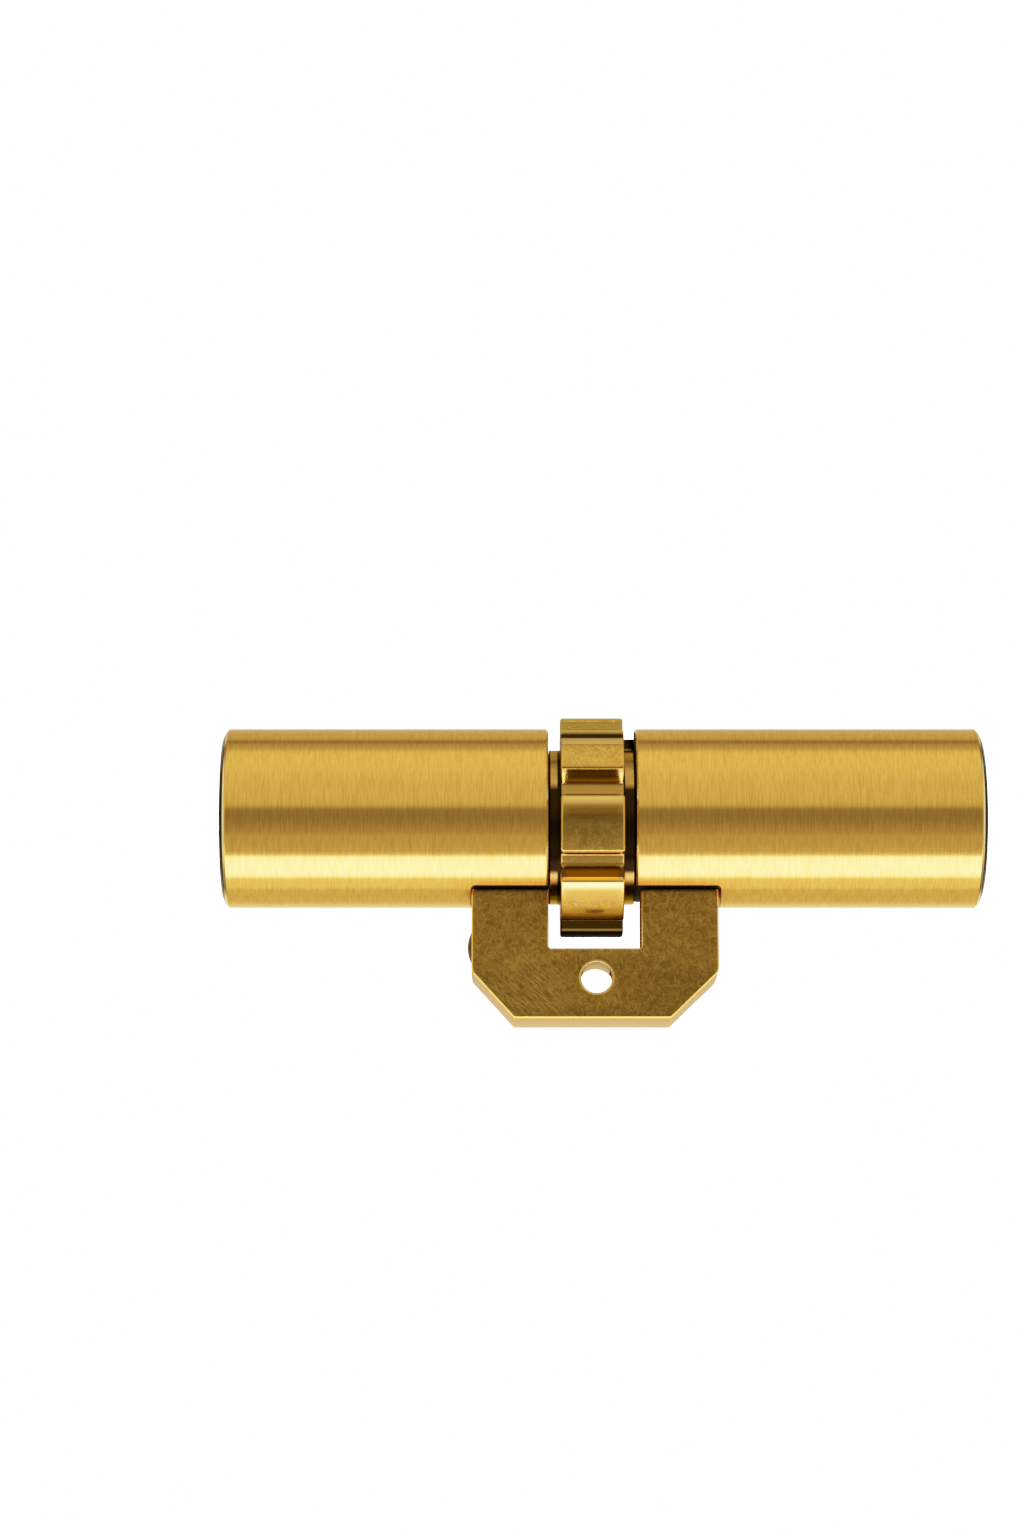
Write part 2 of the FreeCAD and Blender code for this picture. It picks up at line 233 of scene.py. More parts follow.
def seats_and_inner_ends(tree):
    return reckon(tree, "MAXIMUM", seats(tree), inner_ends(tree))


def make_dull(tree, shader, mask, roughness):
    """Raise the roughness where the mask is."""
    rougher = add(tree, "ShaderNodeMapRange", Value=mask, To_Min=roughness,
                  To_Max=dull_roughness)
    feed(tree, shader.inputs["Roughness"], rougher.outputs["Result"])


def colour_zones(tree, colour, zones):
    """The colour with each zone's own colour laid over it, where each is (mask, colour)."""
    for mask, zone_colour in zones:
        colour = mixed(tree, mask(tree), colour, zone_colour)
    return colour


def turned_metal(name, light, dark, axis_z, rings, breaks, roughness, depth, zones=(),
                 dull=None):
    """Metal with lathe rings in colour and relief, softened edges, and zones of colour."""
    material, tree, shader = metal(name, roughness, turned_anisotropy)
    shader.inputs["Anisotropic Rotation"].default_value = turned_rotation
    shader.inputs["Specular Tint"].default_value = turned_grazing_tint
    lines = add(tree, "ShaderNodeGroup", node_tree=rings_effect, Axis_Height=axis_z,
                Rings=rings, Breaks=breaks).outputs["Rings"]
    edges = add(tree, "ShaderNodeGroup", node_tree=edge_effect, Width=turned_edge_width)
    spread = add(tree, "ShaderNodeMapRange", Value=lines, **noise_spread)
    tone = mixed(tree, spread.outputs["Result"], dark, light)
    feed(tree, shader.inputs["Base Color"], colour_zones(tree, tone, zones))
    if dull:
        make_dull(tree, shader, dull(tree), roughness)
    relief = add(tree, "ShaderNodeBump", Strength=ring_relief, Distance=depth, Height=lines,
                 Normal=edges.outputs["Normal"])
    feed(tree, shader.inputs["Normal"], relief.outputs["Normal"])
    turning = add(tree, "ShaderNodeTangent", direction_type="RADIAL", axis="X")
    feed(tree, shader.inputs["Tangent"], turning.outputs["Tangent"])
    return material


def finish_node(name, material):
    """Give a CAD node its material."""
    mesh = nodes[name].data
    mesh.materials.clear()
    mesh.materials.append(material)


# The zones lay painted highlight lines on the rims and painted shade on the disc bevels, inner
# ends and seats
barrel_brass = turned_metal(
    "turned brass, barrels", light=(0.835, 0.462, 0.085, 1.0), dark=(0.665, 0.342, 0.051, 1.0),
    axis_z=barrel_axis_z, rings=5600, breaks=420.0, roughness=0.21, depth=0.012 * mm,
    zones=((outer_chamfers, painted_rim_highlight), (disc_bevels, painted_shade_brown), (inner_ends, painted_shade_brown),
           (inner_rims, painted_rim_highlight), (seats, painted_shade_brown)),
    dull=seats_and_inner_ends)
for side in ("left", "right"):
    finish_node(side + "_half_body", barrel_brass)


# Plugs and their clips
# A turned brass core in each barrel, with a flat keyway milled in from its face. A ring of
# spring steel snapped into a groove at its inner end keeps it from coming out.

plug_axis_z = 22.75 * mm

plug_brass = turned_metal(
    "turned brass, plugs", light=(0.76, 0.42, 0.080, 1.0), dark=(0.66, 0.34, 0.060, 1.0),
    axis_z=plug_axis_z, rings=4200, breaks=60.0, roughness=0.24, depth=0.008 * mm)
spring_steel = turned_metal(
    "spring steel", light=(0.42, 0.42, 0.43, 1.0), dark=(0.30, 0.30, 0.31, 1.0),
    axis_z=plug_axis_z, rings=3000, breaks=400.0, roughness=0.32, depth=0.004 * mm)
for side in ("left", "right"):
    finish_node(side + "_plug", plug_brass)
    finish_node(side + "_plug_clip", spring_steel)


# Pins and springs
# Five stepped key pins of nickel silver stand in each plug, with a steel driver pin and a
# spring above each in the barrel. All are turned and dropped in before the chambers are closed.

pins_per_side = 5

nickel_silver = turned_metal(
    "nickel silver, key pins", light=(0.62, 0.55, 0.42, 1.0), dark=(0.50, 0.44, 0.33, 1.0),
    axis_z=plug_axis_z, rings=6000, breaks=500.0, roughness=0.25, depth=0.003 * mm)
pin_steel = turned_metal(
    "hardened steel, pins", light=(0.50, 0.50, 0.51, 1.0), dark=(0.38, 0.38, 0.39, 1.0),
    axis_z=plug_axis_z, rings=6000, breaks=500.0, roughness=0.28, depth=0.003 * mm)
for side in ("left", "right"):
    for number in range(1, pins_per_side + 1):
        finish_node("%s_key_pin_%d" % (side, number), nickel_silver)
        finish_node("%s_driver_pin_%d" % (side, number), pin_steel)
        finish_node("%s_spring_%d" % (side, number), spring_steel)


# Couplers
# Flat steel bars that slide in slots across the plugs' tails, with the round rods that push
# them and a short rod between them. They decide which plug turns the gear.

for name in ("left_coupler", "right_coupler", "left_push_pin", "right_push_pin",
             "coupler_spacer"):
    finish_node(name, pin_steel)


# Drive gear
# A toothed cam of tumbled brass between the barrels. Eight broad teeth stand on a ring, and a
# round hub on each side keeps it off the barrels. A short lug stands on the right hub.

gear_centre_x = -0.63 * mm
gear_width = 9.06 * mm
tooth_count = 8
tooth_pitch = 360.0 / tooth_count
tip_radius = 15.9 * mm
root_radius = 12.9 * mm
land_angle = 29.5
tooth_base_angle = 37.0
tooth_phase = 9.0
tooth_corner = 0.45 * mm
valley_corner = 0.5 * mm
gear_edge = 0.3 * mm
land_steps = 12
floor_steps = 4
ring_overlap = 0.2 * mm
hub_radius = 11.22 * mm
hub_half_length = 6.15 * mm
hub_edge = 0.15 * mm
hub_bore = 5.05 * mm
bore_steps = 30
coupler_recess_radius = 6.6 * mm
driving_zone = 5.4 * mm
driving_slot_width = 3.1 * mm
driving_slot_reach = 6.5 * mm
web_overlap = 0.1 * mm
web_edge = 0.05 * mm
lug_radius = 12.8 * mm
lug_root = hub_radius - 0.5 * mm
lug_angles = (-79.0, -119.0)
lug_steps = 14
lug_edge = 0.15 * mm
lug_overlap = 1 * mm
# Start, end and steps of a circle that closes on itself in 120 sides
full_circle = (0, 357, 119)
sharp_angle = 32

# How far the colours reach into the teeth from the tips, and round the root
land_depth = 0.3 * mm
corner_depth = 0.6 * mm
shaded_corner_depth = 0.8 * mm
flank_margin = 0.5 * mm
valley_depth = 0.3 * mm
beyond_tip = 1 * mm
tip_fade = 0.1 * mm
band_fade = 0.3 * mm
side_margin = 0.12 * mm
side_fade = 0.06 * mm
# How squarely the worn corners face away from the gear's line, where 1 is straight away
corner_facing = (0.35, 0.975, 0.02)
# Degrees past each tooth's leading corner: from, to and fade
painted_highlight_strip_at = (0.0, 4.2, 1.5)
painted_shade_strip_at = (7.0, 10.5, 5.0)
trailing_flank_at = (land_angle - 2.0, 37.0, 1.0)
trailing_corner_at = (land_angle - 1.5, 38.0, 0.5)
lighter_shaded_flank_at = (37.5, 46.0, 1.0)
# Heights of the painted shade and highlight that only some teeth have, and of the painted shade on
# the hubs: from, to and fade
painted_shadow_line_at = (33.6 * mm, 34.1 * mm, 0.25 * mm)
painted_highlight_line_at = (32.5 * mm, 33.35 * mm, 0.12 * mm)
shaded_corner_at = (27.6 * mm, 28.5 * mm, 0.3 * mm)
dimmed_lower_land_at = (7.7 * mm, 9.2 * mm, 0.3 * mm)
shadowed_lowest_land_at = (6.0 * mm, 7.25 * mm, 0.08 * mm)
hub_shade_band_at = (15.0 * mm, 26.2 * mm, 1.0 * mm)
hub_deep_shade_band_at = (15.0 * mm, 16.6 * mm, 0.5 * mm)
hub_underside_shade_at = (11.8 * mm, 13.1 * mm, 0.25 * mm)
# Along X, round the toothed ring: from, to and fade
hub_root_shadows_at = (gear_centre_x - gear_width / 2 - 0.42 * mm,
                gear_centre_x + gear_width / 2 + 0.15 * mm, 0.05 * mm)
# Round the hubs, from the gear's line: from, to and fade
shaded_lug_at = (hub_radius + 0.3 * mm, lug_radius, 0.1 * mm)
# What all tumbled metal here has in common
tumbled_relief = 0.35
scratch_turns = (20, 75, 130, 165)
scratch_lean = (0.3, 0.2)
scratch_stretch = (1.0, 3.2, 4.0)
scratch_spread = {"From_Min": 0.55, "From_Max": 0.72}


def rounded(points, radius_at, steps=4):
    """Closed outline with an arc of a given radius at each corner that has one."""
    outline = []
    for index, corner in enumerate(points):
        radius = radius_at(index)
        if not radius:
            outline.append(corner)
            continue
        before = (points[index - 1] - corner).normalized()
        after = (points[(index + 1) % len(points)] - corner).normalized()
        half = before.angle(after) / 2
        centre = corner + (before + after).normalized() * (radius / math.sin(half))
        start = corner + before * (radius / math.tan(half)) - centre
        end = corner + after * (radius / math.tan(half)) - centre
        for step in range(steps + 1):
            outline.append(centre + start.slerp(end, step / steps) * radius)
    return outline


def inset(outline, distance):
    """The outline moved inward by a distance."""
    area = sum(here.cross(outline[index - 1]) for index, here in enumerate(outline))
    side = distance if area < 0 else -distance
    moved = []
    for index, here in enumerate(outline):
        before = (here - outline[index - 1]).normalized()
        after = (outline[(index + 1) % len(outline)] - here).normalized()
        inward = Vector((-before.y - after.y, before.x + after.x)) / (1 + before.dot(after))
        moved.append(here + inward * side)
    return moved


def plate(outline, thickness, edge, placed, bore=(), steps=3):
    """Flat piece with rounded edges, and a bore given as rows of (outline, level)."""
    half = thickness / 2
    section = [(edge * (1 - math.sin(math.pi / 2 * step / steps)),
                edge * math.cos(math.pi / 2 * step / steps) + half - edge)
               for step in range(steps + 1)]
    section += [(depth, -level) for depth, level in reversed(section)]
    made = bmesh.new()
    stacks = [[(inset(outline, depth), level) for depth, level in section]]
    if bore:
        stacks.append(bore)
    front, back = [], []
    for stack in stacks:
        rows = [[made.verts.new((point.x, point.y, level)) for point in row]
                for row, level in stack]
        for upper, lower in zip(rows, rows[1:]):
            for index in range(len(upper)):
                made.faces.new((upper[index - 1], upper[index], lower[index], lower[index - 1]))
        front.append(rows[0])
        back.append(rows[-1])
    for rows in (front, back):
        corners = [corner for row in rows for corner in row]
        for three in tessellate_polygon([[corner.co for corner in row] for row in rows]):
            made.faces.new([corners[index] for index in three])
    bmesh.ops.recalc_face_normals(made, faces=made.faces)
    mesh = bpy.data.meshes.new("plate")
    made.to_mesh(mesh)
    made.free()
    mesh.transform(placed)
    return mesh


def show(name, mesh, material, body, slot, *replaced):
    """Put a finished mesh into the scene, riding on its body, in place of its CAD nodes."""
    mesh.name = name
    mesh.materials.clear()
    mesh.materials.append(material)
    mesh.polygons.foreach_set("use_smooth", [True] * len(mesh.polygons))
    mesh.set_sharp_from_angle(angle=math.radians(sharp_angle))
    piece = bpy.data.objects.new(name, mesh)
    bpy.context.scene.collection.objects.link(piece)
    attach(piece, body)
    if replaced:
        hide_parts(*replaced)
    return piece


def turned(profile, axis_z, segments=128):
    """Closed (x, radius) profile swept round a line along X."""
    made = bmesh.new()
    rings = []
    for step in range(segments):
        turn = 2 * math.pi * step / segments
        rings.append([made.verts.new((x, -r * math.cos(turn), axis_z + r * math.sin(turn)))
                      for x, r in profile])
    for step in range(segments):
        near, far = rings[step], rings[(step + 1) % segments]
        for index in range(len(profile)):
            after = (index + 1) % len(profile)
            made.faces.new((near[index], far[index], far[after], near[after]))
    bmesh.ops.recalc_face_normals(made, faces=made.faces)
    mesh = bpy.data.meshes.new("turned")
    made.to_mesh(mesh)
    made.free()
    return mesh


def joined(meshes):
    """One mesh from several."""
    whole = bmesh.new()
    for mesh in meshes:
        whole.from_mesh(mesh)
    result = bpy.data.meshes.new("joined")
    whole.to_mesh(result)
    whole.free()
    return result


def around_gear(radius, angle):
    """Point round the gear's line: 0 is the front, 90 straight down."""
    turn = math.radians(angle)
    return Vector((-radius * math.cos(turn), plug_axis_z - radius * math.sin(turn)))


def arc(radius, start, end, steps):
    """Points round the gear's line from one angle to another."""
    return [around_gear(radius, start + (end - start) * step / steps) for step in range(steps + 1)]


def across(middle_x):
    """Carries an outline drawn in Y and Z to its place along X."""
    return Matrix(((0, 0, 1, middle_x), (1, 0, 0, 0), (0, 1, 0, 0), (0, 0, 0, 1)))


def gear_outline():
    """Outline of the toothed ring, with its corners rounded."""
    points, radii = [], []
    for tooth in range(tooth_count):
        middle = tooth_phase + tooth * tooth_pitch
        points += arc(tip_radius, middle - land_angle / 2, middle + land_angle / 2, land_steps)
        points += arc(root_radius, middle + tooth_base_angle / 2,
                      middle + tooth_pitch - tooth_base_angle / 2, floor_steps)
        radii += [tooth_corner] + [0] * (land_steps - 1) + [tooth_corner]
        radii += [valley_corner] + [0] * (floor_steps - 1) + [valley_corner]
    return rounded(points, lambda index: radii[index])


def hub_profile(side):
    """Section of one hub's wall, from the driving zone out to the hub's end."""
    inner = gear_centre_x + side * driving_zone / 2
    end = gear_centre_x + side * hub_half_length
    return [(inner, coupler_recess_radius), (inner, hub_radius),
            (end - side * hub_edge, hub_radius), (end, hub_radius - hub_edge),
            (end, coupler_recess_radius)]


def slotted_bore():
    """The bore on the plugs' tails, with a driving slot above and below it."""
    half = driving_slot_width / 2
    lean = math.degrees(math.asin(half / hub_bore))
    top = plug_axis_z + driving_slot_reach
    bottom = plug_axis_z - driving_slot_reach
    return (arc(hub_bore, 90 + lean, 270 - lean, bore_steps)
            + [Vector((half, top)), Vector((-half, top))]
            + arc(hub_bore, 270 + lean, 450 - lean, bore_steps)
            + [Vector((-half, bottom)), Vector((half, bottom))])


def ring_mesh():
    """The toothed ring, open in the middle for the hubs."""
    inside = arc(hub_radius - ring_overlap, *full_circle)
    bore = [(inside, gear_width / 2), (inside, -gear_width / 2)]
    return plate(gear_outline(), gear_width, gear_edge, across(gear_centre_x), bore)


def hub_mesh():
    """Both hubs, the web between them with the bore, and the lug on the right hub."""
    lug_end = gear_centre_x + hub_half_length
    lug_length = lug_end - (gear_centre_x + gear_width / 2 - lug_overlap)
    outline = (arc(lug_radius, *lug_angles, lug_steps)
               + arc(lug_root, *reversed(lug_angles), lug_steps))
    lug = plate(outline, lug_length, lug_edge, across(lug_end - lug_length / 2))
    bore = slotted_bore()
    web = plate(arc(hub_radius - web_overlap, *full_circle), driving_zone, web_edge,
                across(gear_centre_x), [(bore, driving_zone / 2), (bore, -driving_zone / 2)])
    walls = [turned(hub_profile(side), plug_axis_z) for side in (-1, 1)]
    return joined(walls + [web, lug])


def random_marks():
    """Cloudy, tarnished tone and short fine scratches in every direction."""
    tree, given, result = shared_effect(
        "Tumbled marks", {"Clouds": 250.0, "Grain": 2500.0, "Scratches": 900.0},
        {"Clouds": "NodeSocketFloat", "Grain": "NodeSocketFloat",
         "Scratches": "NodeSocketFloat"})
    where = place(tree)
    for label, detail in (("Clouds", 5.0), ("Grain", 4.0)):
        noise = add(tree, "ShaderNodeTexNoise", Vector=where, Scale=given.outputs[label],
                    Detail=detail, Roughness=0.6)
        feed(tree, result.inputs[label], noise.outputs["Fac"])
    lean_x, lean_z = scratch_lean
    total = 0.0
    for turn in scratch_turns:
        laid = add(tree, "ShaderNodeMapping", vector_type="TEXTURE", Vector=where,
                   Rotation=(lean_x, math.radians(turn), lean_z), Scale=scratch_stretch)
        noise = add(tree, "ShaderNodeTexNoise", Vector=laid.outputs[0],
                    Scale=given.outputs["Scratches"], Detail=2.0, Roughness=0.5, Distortion=0.8)
        thin = add(tree, "ShaderNodeMapRange", Value=noise.outputs["Fac"], **scratch_spread)
        total = reckon(tree, "MAXIMUM", total, thin.outputs["Result"])
    feed(tree, result.inputs["Scratches"], total)
    return tree


marks_effect = random_marks()


def tumbled_metal(name, light, dark, bright, roughness, edge_width, relief_depth, marks,
                  zones, grazing_tint, dull=None):
    """Metal tumbled in stones: cloudy and finely scratched, with zones of other colours."""
    material, tree, shader = metal(name, roughness)
    shader.inputs["Specular Tint"].default_value = grazing_tint
    mark = add(tree, "ShaderNodeGroup", node_tree=marks_effect, **marks).outputs
    edges = add(tree, "ShaderNodeGroup", node_tree=edge_effect, Width=edge_width)
    cloud = add(tree, "ShaderNodeMapRange", Value=mark["Clouds"], **noise_spread)
    tone = mixed(tree, cloud.outputs["Result"], dark, light)
    scratched = mixed(tree, mark["Scratches"], tone, bright)
    feed(tree, shader.inputs["Base Color"], colour_zones(tree, scratched, zones))
    if dull:
        make_dull(tree, shader, dull(tree), roughness)
    relief = add(tree, "ShaderNodeBump", Strength=tumbled_relief, Distance=relief_depth,
                 Height=reckon(tree, "SUBTRACT", mark["Grain"], mark["Scratches"]),
                 Normal=edges.outputs["Normal"])
    feed(tree, shader.inputs["Normal"], relief.outputs["Normal"])
    return material


def from_line(tree, line, line_z):
    """Distance from a line along X or Y."""
    parts = split(tree, place(tree))
    rise = reckon(tree, "SUBTRACT", parts["Z"], line_z)
    arm = add(tree, "ShaderNodeCombineXYZ", X=parts["Y" if line == "X" else "X"], Z=rise)
    return measure(tree, "LENGTH", arm.outputs[0])


def at_radius(tree, low, high, soft):
    """Mask between two distances from the gear's line."""
    return between(tree, from_line(tree, "X", plug_axis_z), low, high, soft)


def along(tree, axis, low, high, soft):
    """Mask between two places along an axis of the frame."""
    return between(tree, split(tree, place(tree))[axis], low, high, soft)


def near_tip(tree, depth):
    """Mask of the teeth down to a depth below their tips."""
    return at_radius(tree, tip_radius - depth, tip_radius + beyond_tip, tip_fade)


def gear_band(tree, low, high):
    """Mask between two radii, off the ring's side faces."""
    width = between(tree, from_middle(tree, gear_centre_x), 0.0,
                    gear_width / 2 - side_margin, side_fade)
    return times(tree, at_radius(tree, low, high, band_fade), width)


def sector(tree, low, high, soft):
    """Mask between two angles in degrees past each tooth's leading corner."""
    parts = split(tree, place(tree))
    drop = reckon(tree, "SUBTRACT", plug_axis_z, parts["Z"])
    forward = reckon(tree, "MULTIPLY", parts["Y"], -1.0)
    angle = reckon(tree, "ARCTAN2", drop, forward)
    first_corner = math.radians(tooth_phase - land_angle / 2)
    past_corner = reckon(tree, "SUBTRACT", angle, first_corner)
    in_pitch = reckon(tree, "WRAP", past_corner, math.radians(tooth_pitch), 0.0)
    return between(tree, in_pitch, math.radians(low), math.radians(high), math.radians(soft))


def lands(tree):
    """The teeth's outer faces."""
    return near_tip(tree, land_depth)


# Painted shade: the flanks between the teeth laid dark
def shaded_flanks(tree):
    return gear_band(tree, root_radius + flank_margin, tip_radius - flank_margin)


def gear_valleys(tree):
    return gear_band(tree, root_radius - valley_depth, root_radius + valley_depth)


def gear_corners(tree):
    """The rounded rims and leading corners of the teeth, worn bright."""
    parts = split(tree, place(tree))
    outward = add(tree, "ShaderNodeCombineXYZ", Y=parts["Y"],
                  Z=reckon(tree, "SUBTRACT", parts["Z"], plug_axis_z))
    straight = add(tree, "ShaderNodeVectorMath", operation="NORMALIZE")
    feed(tree, straight.inputs[0], outward.outputs[0])
    match = measure(tree, "DOT_PRODUCT", straight.outputs[0], place(tree, "Normal"))
    turning_away = between(tree, match, *corner_facing)
    not_trailing = reckon(tree, "SUBTRACT", 1.0, sector(tree, *trailing_corner_at))
    return times(tree, times(tree, turning_away, near_tip(tree, corner_depth)), not_trailing)


def painted_highlight_strips(tree):
    """Painted highlight on the strip of each tooth that meets the bolt first."""
    return times(tree, lands(tree), sector(tree, *painted_highlight_strip_at))


def painted_shade_strips(tree):
    """Painted shade on a strip behind the painted highlight."""
    return times(tree, lands(tree), sector(tree, *painted_shade_strip_at))


def lighter_shaded_flank_tops(tree):
    """The outer part of the flanks that push the bolt, with a lighter painted shade than the rest.
    """
    outer = gear_band(tree, tip_radius - land_depth, tip_radius)
    return times(tree, outer, sector(tree, *lighter_shaded_flank_at))


def trailing_flanks(tree):
    """The flanks that the bolt leaves last, laid back near the metal's own colour over the painted
    shade.
    """
    return times(tree, shaded_flanks(tree), sector(tree, *trailing_flank_at))


def painted_shadow_line(tree):
    """A painted black shadow line across one tooth in front and one behind."""
    return times(tree, lands(tree), along(tree, "Z", *painted_shadow_line_at))


def painted_highlight_line(tree):
    """A painted highlight line below the painted shadow line."""
    return times(tree, lands(tree), along(tree, "Z", *painted_highlight_line_at))


def shaded_corner(tree):
    """Painted shade on the trailing corner of the same teeth, browner than the others."""
    return times(tree, near_tip(tree, shaded_corner_depth), along(tree, "Z", *shaded_corner_at))


def dimmed_lower_land(tree):
    """The trailing part of the lower teeth, with painted shade that tones down their highlight."""
    return times(tree, lands(tree), along(tree, "Z", *dimmed_lower_land_at))


def shadowed_lowest_land(tree):
    """The lowest tooth, with painted black shadow."""
    return times(tree, lands(tree), along(tree, "Z", *shadowed_lowest_land_at))


def hub_shade_band(tree):
    """Painted shade on the hubs between two heights, front and back."""
    return along(tree, "Z", *hub_shade_band_at)


# Deeper painted shade low in that band
def hub_deep_shade_band(tree):
    return along(tree, "Z", *hub_deep_shade_band_at)


# Painted shade on the hubs' lower part, near their bottom
def hub_underside_shade(tree):
    return along(tree, "Z", *hub_underside_shade_at)


def hub_root_shadows(tree):
    """Painted shadow in the corners between the hubs and the toothed ring."""
    return along(tree, "X", *hub_root_shadows_at)


# Painted shade over the lug, beyond the hub's surface
def shaded_lug(tree):
    return at_radius(tree, *shaded_lug_at)


# Most of the gear's zones are painted light and shade: the flanks, strips on the lands, and lines
# and patches at set heights
gear_brass = tumbled_metal(
    "tumbled brass, gear", light=(0.60, 0.32, 0.050, 1.0), dark=(0.44, 0.23, 0.032, 1.0),
    bright=(0.68, 0.39, 0.080, 1.0), roughness=0.17, edge_width=0.12 * mm,
    relief_depth=0.012 * mm, marks={"Clouds": 500.0, "Grain": 3500.0, "Scratches": 3000.0},
    zones=((shaded_flanks, (0.100, 0.050, 0.005, 1.0)), (lighter_shaded_flank_tops, (0.30, 0.15, 0.016, 1.0)),
           (trailing_flanks, (0.54, 0.33, 0.055, 1.0)), (gear_valleys, (0.42, 0.23, 0.040, 1.0)),
           (painted_highlight_strips, (0.90, 0.54, 0.130, 1.0)), (painted_shade_strips, (0.27, 0.135, 0.017, 1.0)),
           (gear_corners, (0.68, 0.38, 0.065, 1.0)), (painted_shadow_line, (0.05, 0.025, 0.003, 1.0)),
           (painted_highlight_line, (0.85, 0.50, 0.140, 1.0)), (shaded_corner, (0.36, 0.20, 0.030, 1.0)),
           (dimmed_lower_land, (0.44, 0.31, 0.050, 1.0)), (shadowed_lowest_land, (0.04, 0.02, 0.003, 1.0))),
    grazing_tint=(1.0, 0.86, 0.55, 1.0), dull=shadowed_lowest_land)
show("toothed_ring", ring_mesh(), gear_brass, "gear", "gear_brass", "drive_gear")
# Painted shade on the hubs: bands of heights, the corners beside the toothed ring, and the lug
hub_brass = tumbled_metal(
    "brass with painted shade, hubs", light=(0.54, 0.29, 0.055, 1.0), dark=(0.36, 0.19, 0.034, 1.0),
    bright=(0.54, 0.29, 0.055, 1.0), roughness=0.20, edge_width=0.1 * mm,
    relief_depth=0.01 * mm, marks={"Clouds": 500.0, "Grain": 2500.0, "Scratches": 3000.0},
    zones=((hub_shade_band, (0.026, 0.012, 0.002, 1.0)), (hub_deep_shade_band, (0.012, 0.005, 0.001, 1.0)),
           (hub_underside_shade, (0.13, 0.068, 0.006, 1.0)), (hub_root_shadows, (0.015, 0.007, 0.001, 1.0)),
           (shaded_lug, (0.05, 0.025, 0.004, 1.0))),
    grazing_tint=(0.8, 0.65, 0.4, 1.0))
show("gear_hubs", hub_mesh(), hub_brass, "gear", "gear_brass")


# Bridge
# A thick notched bracket of brass under the barrels, darkened and marked by tumbling, with
# its edges burnished bright. Its tongues are pinned into the barrels, and the fixing screw's
# hole crosses its middle.

bridge_middle_x = -0.2 * mm
bridge_width = 35.45 * mm
bridge_thickness = 10.0 * mm
bridge_bottom_z = -5.85 * mm
arm_top_z = 12.85 * mm
notch_width = 13.24 * mm
notch_floor_z = 4.26 * mm
left_cut_width = 6.1 * mm
right_cut_width = 6.9 * mm
cut_height = 6.7 * mm
arm_corner = 0.5 * mm
notch_corner = 0.35 * mm
flank_corner = 1.5 * mm
foot_corner = 0.6 * mm
corner_steps = 6
bridge_edge = 0.25 * mm
tongue_middles = (-12.37 * mm, 11.97 * mm)
tongue_length = 7.0 * mm
tongue_thickness = 5.0 * mm
tongue_top_z = 14.9 * mm
tongue_edge = 0.15 * mm
tongue_overlap = 1 * mm
screw_hole_radius = 2.2 * mm
hole_sides = 64
mouth_radius = 0.25 * mm
mouth_steps = 4
relief_depth = 5.6 * mm
relief_radius = 2.75 * mm
facing_front = Matrix(((1, 0, 0, 0), (0, 0, -1, 0), (0, 1, 0, 0), (0, 0, 0, 1)))

# How squarely each zone faces forward, down or sideways, where 1 is straight: from, to, fade
rounded_edge_facing = (0.12, 0.965, 0.02)
underside_facing = (0.5, 1.1, 0.1)
hole_rim_facing = (0.3, 1.1, 0.1)
arm_side_facing = (0.9, 1.1, 0.05)
# Where each zone lies: from, to and fade
hole_rim_at = (screw_hole_radius, screw_hole_radius + mouth_radius + 0.08 * mm, 0.05 * mm)
arm_side_at = (0.0, notch_width / 2 + 0.2 * mm, 0.05 * mm)
streaks_x = (-13 * mm, -7 * mm, 4 * mm)
streaks_z = (-4 * mm, 0 * mm, 4 * mm)
streak_angle = 42
streak_stretch = (7.0, 1.0, 1.0)
streak_levels = (0.64, 2.0, 0.20)
# Shared by the bridge and the rivet
bracket_gold = {"light": (0.30, 0.155, 0.020, 1.0), "dark": (0.20, 0.100, 0.012, 1.0),
                "bright": (0.42, 0.235, 0.040, 1.0), "grazing_tint": (1.0, 0.90, 0.68, 1.0),
                "edge_width": 0.1 * mm, "relief_depth": 0.02 * mm,
                "marks": {"Clouds": 1300.0, "Grain": 5000.0, "Scratches": 3500.0}}


def bridge_outline():
    """Front outline from the left arm's outer top corner round to the left flank."""
    left = bridge_middle_x - bridge_width / 2
    right = bridge_middle_x + bridge_width / 2
    notch_left = bridge_middle_x - notch_width / 2
    notch_right = bridge_middle_x + notch_width / 2
    cut_top = bridge_bottom_z + cut_height
    corners = [(left, arm_top_z, arm_corner), (notch_left, arm_top_z, arm_corner),
               (notch_left, notch_floor_z, notch_corner),
               (notch_right, notch_floor_z, notch_corner),
               (notch_right, arm_top_z, arm_corner), (right, arm_top_z, arm_corner),
               (right, cut_top, flank_corner),
               (right - right_cut_width, bridge_bottom_z, foot_corner),
               (left + left_cut_width, bridge_bottom_z, foot_corner),
               (left, cut_top, flank_corner)]
    return rounded([Vector((x, z)) for x, z, corner in corners],
                   lambda index: corners[index][2], steps=corner_steps)


def circle(radius, steps=hole_sides):
    """Points of a circle round the screw's line."""
    return [Vector((radius * math.cos(2 * math.pi * step / steps),
                    radius * math.sin(2 * math.pi * step / steps))) for step in range(steps)]


def hole_section():
    """Half section of the screw's hole: radius and distance in front of the middle."""
    half = bridge_thickness / 2
    turns = [math.pi / 2 * step / mouth_steps for step in range(mouth_steps + 1)]
    rim = [(screw_hole_radius + mouth_radius * (1 - math.sin(turn)),
            half - mouth_radius * (1 - math.cos(turn))) for turn in turns]
    return rim + [(screw_hole_radius, relief_depth - half), (relief_radius, relief_depth - half),
                  (relief_radius, -half)]


